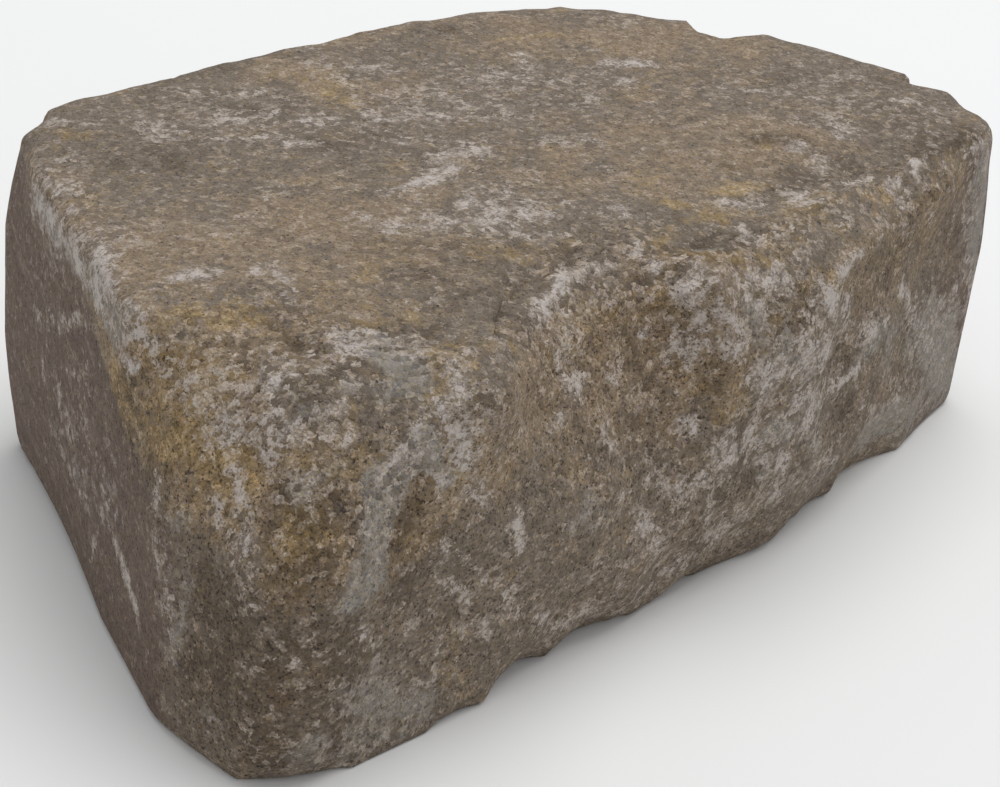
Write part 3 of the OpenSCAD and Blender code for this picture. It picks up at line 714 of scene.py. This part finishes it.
# Patterns, by the size of their lumps: flecks of 3 mm and specks of 1 mm. The scuffs lean: the
# drum draws them up the face at 28 degrees, and the mould along the other sides at 21 degrees.
fleck = add_node(
    tree, "ShaderNodeTexNoise", {"Vector": place, "Scale": 300, "Detail": 3, "Roughness": 0.7})["Fac"]
speck = add_node(tree, "ShaderNodeTexNoise", {"Vector": place, "Scale": 1100, "Detail": 1})["Fac"]
leaning = add_node(
    tree, "ShaderNodeMapping", {"Vector": place, "Rotation": (0, math.radians(28), 0), "Scale": (1, 1, 3)},
    vector_type="TEXTURE",
)["Vector"]
smear = add_node(
    tree, "ShaderNodeTexNoise", {"Vector": leaning, "Scale": 300, "Detail": 2, "Roughness": 0.6})["Fac"]
drawn = add_node(
    tree, "ShaderNodeMapping", {"Vector": place, "Rotation": (math.radians(21), 0, 0), "Scale": (5, 5, 1)},
    vector_type="TEXTURE",
)["Vector"]
scratch = add_node(
    tree, "ShaderNodeTexNoise", {"Vector": drawn, "Scale": 420, "Detail": 2, "Roughness": 0.6})["Fac"]

# Sand: each grain takes its own tone. Real grains run from 0.1 to 1 mm; they are drawn at 0.4
# and 0.7 mm, the finest that still shows, and shaken by up to 0.3 mm, so that no edge of theirs
# is straight. On the moulded sides the tone is drawn out in streaks.
shaken = add_node(
    tree, "ShaderNodeMixRGB", {"Fac": 0.0006, "Color1": place, "Color2": add_node(
        tree, "ShaderNodeTexNoise", {"Vector": place, "Scale": 1200, "Detail": 1})["Color"]},
)["Color"]
fine_sand = add_node(tree, "ShaderNodeTexVoronoi", {"Vector": shaken, "Scale": 1 / 0.0004})["Color"]
fine_tone = add_node(tree, "ShaderNodeSeparateColor", {"Color": fine_sand})["Red"]
coarse_sand = add_node(tree, "ShaderNodeTexVoronoi", {"Vector": shaken, "Scale": 1 / 0.0007})["Color"]
coarse_tone = add_node(tree, "ShaderNodeSeparateColor", {"Color": coarse_sand})
sand_tone = add_node(tree, "ShaderNodeMix", {0: 0.5, 2: fine_tone, 3: coarse_tone["Red"]})[0]
sand_tone = add_node(
    tree, "ShaderNodeMath", {0: fleck, 1: 0.5, 2: sand_tone}, operation="MULTIPLY_ADD")["Value"]
sand_tone = add_node(tree, "ShaderNodeMath", {0: sand_tone, 1: 0.25}, operation="SUBTRACT")["Value"]
streak_tone = add_node(
    tree, "ShaderNodeMath", {0: scratch, 1: 1.6, 2: -0.3}, operation="MULTIPLY_ADD")["Value"]
streak_share = add_node(
    tree, "ShaderNodeMath", {0: layer["moulded"], 1: 0.2}, operation="MULTIPLY")["Value"]
sand_tone = add_node(tree, "ShaderNodeMix", {0: streak_share, 2: sand_tone, 3: streak_tone})[0]

# Coarser grit, 1.7 mm across, with ragged outlines: each grain takes its own tone, and its own
# share of pigment and of the scuffs. A gap is where two grains of it meet; it is sunk by the bump
# and painted dark as shade.
bent = add_node(
    tree, "ShaderNodeVectorMath", {0: speck, 1: (0.0016, -0.0014, 0.0015), 2: place},
    operation="MULTIPLY_ADD",
)["Vector"]
grit = add_node(tree, "ShaderNodeTexVoronoi", {"Vector": bent, "Scale": 1 / 0.0017})
grit_own = add_node(tree, "ShaderNodeSeparateColor", {"Color": grit["Color"]})
gap = add_node(
    tree, "ShaderNodeMath", {0: grit["Distance"], 1: layer["knobby"]}, operation="MULTIPLY")["Value"]

# The grains' tones as colours. They lie over the paste as an overlay, where #bcbcbc changes
# nothing. A ramp comes with its stops at 0 and 1.
shades = []
for value, stops in (
    (sand_tone, (
        (0.0, "#3d3228"), (0.13, "#6e6256"), (0.24, "#a29c95"), (0.5, "#bcb9b4"), (0.8, "#cdc9c2"),
        (1.0, "#eee9e2"),
    )),
    (coarse_tone["Green"], ((0.0, "#c3b492"), (0.3, "#beb8aa"), (0.7, "#bbbab6"), (1.0, "#b8b2ba"))),
    (grit_own["Red"], ((0.0, "#8b857e"), (0.5, "#bcb9b4"), (1.0, "#dcd8d2"))),
):
    shade = add_node(tree, "ShaderNodeValToRGB", {"Fac": value})["Color"]
    ramp = shade.node.color_ramp
    for at, colour in stops:
        stop = ramp.elements.new(at) if 0 < at < 1 else ramp.elements[-int(at)]
        stop.color = linear(colour)
    shades.append(shade)

# Pin-holes where air was trapped: a round spot in some of the cells of a 2.2 mm lattice, as wide
# as the cell's own random number says.
holes = add_node(tree, "ShaderNodeTexVoronoi", {"Vector": shaken, "Scale": 1 / 0.0022})
hole_size = add_node(tree, "ShaderNodeSeparateColor", {"Color": holes["Color"]})["Green"]
hole_edge = add_node(
    tree, "ShaderNodeMath", {0: hole_size, 1: 0.3, 2: -0.14}, operation="MULTIPLY_ADD")["Value"]
hole_depth = add_node(
    tree, "ShaderNodeMath", {0: hole_edge, 1: holes["Distance"]}, operation="SUBTRACT")["Value"]
hole = add_node(
    tree, "ShaderNodeMapRange", {"Value": hole_depth, "From Min": -0.02, "From Max": 0.04})["Result"]

# Pale pebbles that stand out one by one: x, y and radius in millimetres. Each is full 0.25 mm in
# from its edge.
flat = add_node(tree, "ShaderNodeVectorMath", {0: bent, 1: (1, 1, 0)}, operation="MULTIPLY")["Vector"]
pebble = 0.0
for spot_x, spot_y, radius in (
    (-140, -34, 1.5), (-137, -43.5, 1.5), (-138, -45.5, 0.8), (-139.5, -43.5, 1.7), (-121, -45, 0.9),
    (-68, 12, 0.8), (30, -20, 0.7), (84, 10, 0.8), (-30, 44, 0.8), (-92, -24, 0.7), (52, 48, 0.8),
):
    away = add_node(
        tree, "ShaderNodeVectorMath", {0: flat, 1: (spot_x * MM, spot_y * MM, 0)},
        operation="DISTANCE",
    )["Value"]
    inside = add_node(tree, "ShaderNodeMath", {0: radius * MM, 1: away}, operation="SUBTRACT")["Value"]
    pebble = add_node(
        tree, "ShaderNodeMath", {0: inside, 1: 4000, 2: pebble}, operation="MULTIPLY_ADD",
        use_clamp=True,
    )["Value"]

# The colour, laid on from the grey of the paste up: pigments, then darker patches with painted shade
# in hollows and pits, the dark of the mould, painted shade in the hollows of breaks and the gaps of
# grit, then lime and scuffs. Each layer: its colour, its mark, what breaks its edge up, where
# it starts and where it is full, and how much it covers.
tone = add_node(tree, "ShaderNodeRGB", {})["Color"]
tone.default_value = linear("#776f67")
streaked = add_node(tree, "ShaderNodeMath", {0: smear, 1: layer["struck"]}, operation="MULTIPLY")["Value"]
drawn_on = add_node(
    tree, "ShaderNodeMath", {0: scratch, 1: layer["moulded"]}, operation="MULTIPLY")["Value"]
own = grit_own["Red"], grit_own["Green"], grit_own["Blue"]
for colour, mark, patterns, start, full, cover in (
    ("#897c6d", layer["tan"], ((fleck, 0.9), (own[0], 0.3), (speck, 0.4)), 0.0, 1.1, 1.0),
    ("#a08d68", layer["ochre"], ((fleck, 1.2), (own[1], 0.5), (speck, 0.5)), 0.2, 1.3, 0.8),
    # Darker patches, and painted shade in hollows, pits and the near left corner.
    ("#504538", layer["dark_and_shade"], ((fleck, 0.9), (own[2], 0.3), (speck, 0.4)), 0.1, 1.3, 0.7),
    ("#64554f", layer["moulded"], ((fleck, 0.6), (speck, 0.5)), 0.2, 0.9, 0.75),
    # Painted shade in the hollows between the knobs of a break.
    ("#3a2f24", layer["hollow_shade"], ((fleck, 0.6), (speck, 0.3)), 0.4, 1.1, 0.4),
    # Painted shade in the gaps between grains of grit.
    ("#3a2f24", gap, ((speck, 0.3),), 0.3, 0.7, 0.4),
    ("#8e8c8a", layer["film"], ((fleck, 0.8), (own[0], 0.3), (speck, 0.3)), 0.25, 0.85, 0.85),
    ("#9d958e", streaked, (), 0.55, 0.75, 0.2),
    ("#958b88", drawn_on, (), 0.54, 0.72, 0.4),
    ("#9f9792", layer["chalk"], ((fleck, 0.6), (own[0], 0.8), (speck, 0.9)), 0.1, 1.2, 0.75),
):
    tone = lay_on(tree, tone, colour, mark, patterns, start, full, cover)

# The grains' tones. Lime fills the pores, so that grains and pin-holes show less under it, and
# the bed, which the steel pressed, is finer than the rest.
filled = add_node(
    tree, "ShaderNodeMath", {0: layer["film"], 1: 0.5}, operation="MULTIPLY", use_clamp=True)["Value"]
filled = add_node(
    tree, "ShaderNodeMath", {0: layer["chalk"], 1: 0.4, 2: filled}, operation="MULTIPLY_ADD",
    use_clamp=True,
)["Value"]
coarseness = add_node(
    tree, "ShaderNodeMath", {0: layer["bed"], 1: -0.35, 2: 1.0}, operation="MULTIPLY_ADD")["Value"]
coarseness = add_node(
    tree, "ShaderNodeMath", {0: filled, 1: -0.5, 2: coarseness}, operation="MULTIPLY_ADD")["Value"]
for shade, fac in zip(shades, (coarseness, 0.6, layer["knobby"])):
    tone = add_node(
        tree, "ShaderNodeMixRGB", {"Fac": fac, "Color1": tone, "Color2": shade}, blend_type="OVERLAY",
    )["Color"]

# Last, what lies on the grains or in them: the brightest scuffs, pale pebbles and painted shade
# in the pin-holes.
open_pore = add_node(
    tree, "ShaderNodeMath", {0: filled, 1: -0.7, 2: 1.0}, operation="MULTIPLY_ADD")["Value"]
open_hole_shade = add_node(tree, "ShaderNodeMath", {0: hole, 1: open_pore}, operation="MULTIPLY")["Value"]
for colour, mark, patterns, start, full, cover in (
    ("#c3bab3", layer["chalk"],
     ((fleck, 0.8), (own[0], 1.0), (speck, 0.6), (sand_tone, 1.5)), 0.6, 2.0, 0.85),
    ("#cdc6bc", pebble, (), 0, 1, 0.9),
    # Painted shade inside the open pin-holes.
    ("#2a2420", open_hole_shade, (), 0, 1, 0.8),
):
    tone = lay_on(tree, tone, colour, mark, patterns, start, full, cover)
tree.links.new(tone, shader.inputs["Base Color"])
shader.inputs["Roughness"].default_value = 0.92
shader.inputs["IOR"].default_value = 1.5

# Relief too fine for the mesh, in millimetres: flecks, specks, pin-holes and the gaps between
# the grains of grit.
bump_height = fleck
for pattern, amount in ((speck, 0.5), (hole, -0.5), (gap, -0.8)):
    bump_height = add_node(
        tree, "ShaderNodeMath", {0: pattern, 1: amount, 2: bump_height}, operation="MULTIPLY_ADD",
    )["Value"]
bump = add_node(tree, "ShaderNodeBump", {"Height": bump_height, "Distance": MM, "Strength": 0.8})["Normal"]
tree.links.new(bump, shader.inputs["Normal"])
block_mesh.materials.append(concrete)

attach(block, "root")
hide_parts("wall_block")

# ------------------------------------------------------------------------------------------
# The studio: a plain pale floor of matt paper, a large soft lamp overhead, a little to the
# right, and even light from all round. Sizes are in metres.
# ------------------------------------------------------------------------------------------
FLOOR_SIZE = 12
floor_mesh = bpy.data.meshes.new("floor")
edge = FLOOR_SIZE / 2
floor_mesh.from_pydata(
    [(-edge, -edge, 0), (edge, -edge, 0), (edge, edge, 0), (-edge, edge, 0)], [], [(0, 1, 2, 3)])
floor = bpy.data.objects.new("floor", floor_mesh)
bpy.context.scene.collection.objects.link(floor)

# Uncoated paper off a roll: dead matt, so it takes a soft shadow and mirrors nothing.
paper = bpy.data.materials.new("matt_white_paper")
paper.use_nodes = True
for socket, value in (
    ("Base Color", linear("#f4f4f2")), ("Roughness", 1.0), ("Specular IOR Level", 0.0),
):
    paper.node_tree.nodes["Principled BSDF"].inputs[socket].default_value = value
floor_mesh.materials.append(paper)

world = bpy.data.worlds.new("even_light")
world.use_nodes = True
world.node_tree.nodes["Background"].inputs["Color"].default_value = linear("#f4f6fa")
world.node_tree.nodes["Background"].inputs["Strength"].default_value = 0.55
bpy.context.scene.world = world

LAMP_RIGHT, LAMP_BACK, LAMP_HEIGHT = 0.5, 0.1, 2.0
lamp_data = bpy.data.lights.new("overhead_lamp", "AREA")
lamp_data.shape = "DISK"
lamp_data.size = 2.0
lamp_data.energy = 26
lamp = bpy.data.objects.new("overhead_lamp", lamp_data)
lamp.matrix_world = (
    Matrix.Translation((LAMP_RIGHT, LAMP_BACK, LAMP_HEIGHT))
    @ Matrix.Rotation(math.atan2(LAMP_RIGHT, LAMP_HEIGHT), 4, "Y")
)
bpy.context.scene.collection.objects.link(lamp)

# ------------------------------------------------------------------------------------------
# The camera: to the left of the face and a little above, turned about its own axis as a
# hand-held one is. Angles in degrees: how far it looks right and down, and how far it is turned.
# ------------------------------------------------------------------------------------------
LOOKS_RIGHT, LOOKS_DOWN, TURNED = 47.27, 28.39, 6.44
camera_data = bpy.data.cameras.new("camera")
camera_data.sensor_width = 36
camera_data.lens = 88.56
camera = bpy.data.objects.new("camera", camera_data)
bpy.context.scene.collection.objects.link(camera)
camera.matrix_world = (
    Matrix.Translation((-0.4519, -0.4227, 0.3555))
    @ Matrix.Rotation(math.radians(-LOOKS_RIGHT), 4, "Z")
    @ Matrix.Rotation(math.radians(90 - LOOKS_DOWN), 4, "X")
    @ Matrix.Rotation(math.radians(TURNED), 4, "Z")
)
camera_data.clip_start = 0.02
bpy.context.scene.camera = camera
bpy.context.scene.view_settings.view_transform = "Standard"
